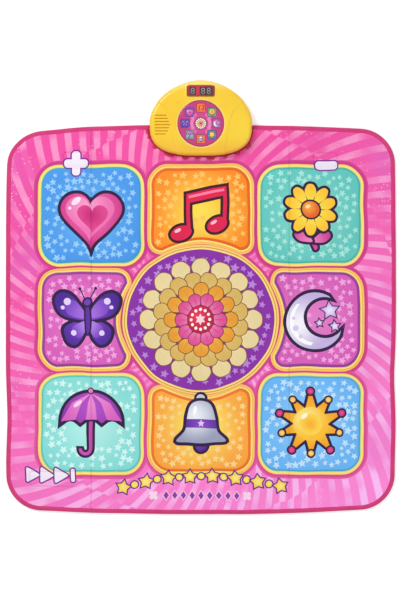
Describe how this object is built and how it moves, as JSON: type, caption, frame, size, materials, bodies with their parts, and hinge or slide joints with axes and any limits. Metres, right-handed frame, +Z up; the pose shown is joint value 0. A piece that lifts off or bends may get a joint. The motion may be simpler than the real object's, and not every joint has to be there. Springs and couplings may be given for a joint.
{
  "type": "electronic dance mat",
  "caption": "Soft square floor mat with printed step keys round a central disc and a domed battery-powered controller clamped over its rear edge.",
  "frame": {"origin": "middle of the mat on the floor, at the underside of the backing sheet", "axes": "+X to the player's right, +Y from the player's edge to the controller, +Z up"},
  "size_m": [0.906, 1.0072, 0.0357],
  "materials": {
    "grey_foam": "closed-cell non-slip foam, matt",
    "film": "clear polyester film with printed tracks",
    "white_foam": "open-cell foam, matt",
    "printed_cloth": "satin-weave polyester with an all-over print",
    "binding": "folded woven tape, stitched",
    "carbon": "carbon-loaded film, matt",
    "yellow_case": "moulded, semi-gloss",
    "dial": "printed and lacquered, glossy",
    "red_window": "tinted clear acrylic, polished",
    "display": "grey face with seven-bar digits",
    "diffuser": "white moulding, satin",
    "led_lens": "clear diffused epoxy",
    "board": "laminate with solder mask",
    "black_plastic": "moulded, satin",
    "cone": "coated paper, matt",
    "cell_sleeve": "steel can in a printed sleeve, mean density of a dry cell",
    "steel": "nickel-plated"
  },
  "bodies": {
    "mat": {"backing_sheet": "grey_foam", "sensor_film": "film", "spacer_foam": "white_foam", "cover_cloth": "printed_cloth", "edge_binding": "binding", "upper_housing": "yellow_case", "lower_housing": "yellow_case", "display_window": "red_window", "digit_module_left": "display", "digit_module_right": "display", "dial_lens": "dial", "light_baffle": "diffuser", "main_board": "board", "board_chip": "black_plastic", "film_clamp_bar": "black_plastic", "speaker_frame": "steel", "speaker_cone": "cone", "power_switch_body": "black_plastic", "led_1": "led_lens", "led_2": "led_lens", "led_3": "led_lens", "led_4": "led_lens", "led_5": "led_lens", "led_6": "led_lens", "led_7": "led_lens", "led_8": "led_lens", "housing_screw_1": "steel", "housing_screw_2": "steel", "housing_screw_3": "steel", "housing_screw_4": "steel", "battery_1": "cell_sleeve", "battery_2": "cell_sleeve", "battery_3": "cell_sleeve", "battery_terminal_positive": "steel", "battery_terminal_negative": "steel", "battery_link_1": "steel", "battery_link_2": "steel"},
    "key_1": {"key_pad_1": "white_foam", "key_contact_1": "carbon"},
    "key_2": {"key_pad_2": "white_foam", "key_contact_2": "carbon"},
    "key_3": {"key_pad_3": "white_foam", "key_contact_3": "carbon"},
    "key_4": {"key_pad_4": "white_foam", "key_contact_4": "carbon"},
    "key_5": {"key_pad_5": "white_foam", "key_contact_5": "carbon"},
    "key_6": {"key_pad_6": "white_foam", "key_contact_6": "carbon"},
    "key_7": {"key_pad_7": "white_foam", "key_contact_7": "carbon"},
    "key_8": {"key_pad_8": "white_foam", "key_contact_8": "carbon"},
    "volume_up": {"volume_up_pad": "white_foam"},
    "volume_down": {"volume_down_pad": "white_foam"},
    "start_key": {"start_pad": "white_foam"},
    "battery_door": {"battery_door": "yellow_case", "battery_door_screw": "steel"},
    "power_switch": {"power_switch_slider": "black_plastic"}
  },
  "joints": [
    {"name": "key_1_press", "type": "slide", "parent": "mat", "child": "key_1", "axis": [0, 0, -1], "range_m": [0, 0.0012], "stiffness_N_per_m": 2000, "springref_m": -0.001, "deforming": ["spacer_foam", "cover_cloth"]},
    {"name": "key_2_press", "type": "slide", "parent": "mat", "child": "key_2", "axis": [0, 0, -1], "range_m": [0, 0.0012], "stiffness_N_per_m": 2000, "springref_m": -0.001, "deforming": ["spacer_foam", "cover_cloth"]},
    {"name": "key_3_press", "type": "slide", "parent": "mat", "child": "key_3", "axis": [0, 0, -1], "range_m": [0, 0.0012], "stiffness_N_per_m": 2000, "springref_m": -0.001, "deforming": ["spacer_foam", "cover_cloth"]},
    {"name": "key_4_press", "type": "slide", "parent": "mat", "child": "key_4", "axis": [0, 0, -1], "range_m": [0, 0.0012], "stiffness_N_per_m": 2000, "springref_m": -0.001, "deforming": ["spacer_foam", "cover_cloth"]},
    {"name": "key_5_press", "type": "slide", "parent": "mat", "child": "key_5", "axis": [0, 0, -1], "range_m": [0, 0.0012], "stiffness_N_per_m": 2000, "springref_m": -0.001, "deforming": ["spacer_foam", "cover_cloth"]},
    {"name": "key_6_press", "type": "slide", "parent": "mat", "child": "key_6", "axis": [0, 0, -1], "range_m": [0, 0.0012], "stiffness_N_per_m": 2000, "springref_m": -0.001, "deforming": ["spacer_foam", "cover_cloth"]},
    {"name": "key_7_press", "type": "slide", "parent": "mat", "child": "key_7", "axis": [0, 0, -1], "range_m": [0, 0.0012], "stiffness_N_per_m": 2000, "springref_m": -0.001, "deforming": ["spacer_foam", "cover_cloth"]},
    {"name": "key_8_press", "type": "slide", "parent": "mat", "child": "key_8", "axis": [0, 0, -1], "range_m": [0, 0.0012], "stiffness_N_per_m": 2000, "springref_m": -0.001, "deforming": ["spacer_foam", "cover_cloth"]},
    {"name": "volume_up_press", "type": "slide", "parent": "mat", "child": "volume_up", "axis": [0, 0, -1], "range_m": [0, 0.0012], "stiffness_N_per_m": 200, "springref_m": -0.001, "deforming": ["spacer_foam", "cover_cloth"]},
    {"name": "volume_down_press", "type": "slide", "parent": "mat", "child": "volume_down", "axis": [0, 0, -1], "range_m": [0, 0.0012], "stiffness_N_per_m": 200, "springref_m": -0.001, "deforming": ["spacer_foam", "cover_cloth"]},
    {"name": "start_key_press", "type": "slide", "parent": "mat", "child": "start_key", "axis": [0, 0, -1], "range_m": [0, 0.0012], "stiffness_N_per_m": 200, "springref_m": -0.001, "deforming": ["spacer_foam", "cover_cloth"]},
    {"name": "battery_door_hinge", "type": "hinge", "parent": "mat", "child": "battery_door", "pos_m": [0.0317, 0.4785, 0.00135], "axis": [0, 1, 0], "range_deg": [0, 75]},
    {"name": "power_switch_slide", "type": "slide", "parent": "mat", "child": "power_switch", "axis": [1, 0, 0], "range_m": [0, 0.004]}
  ]
}
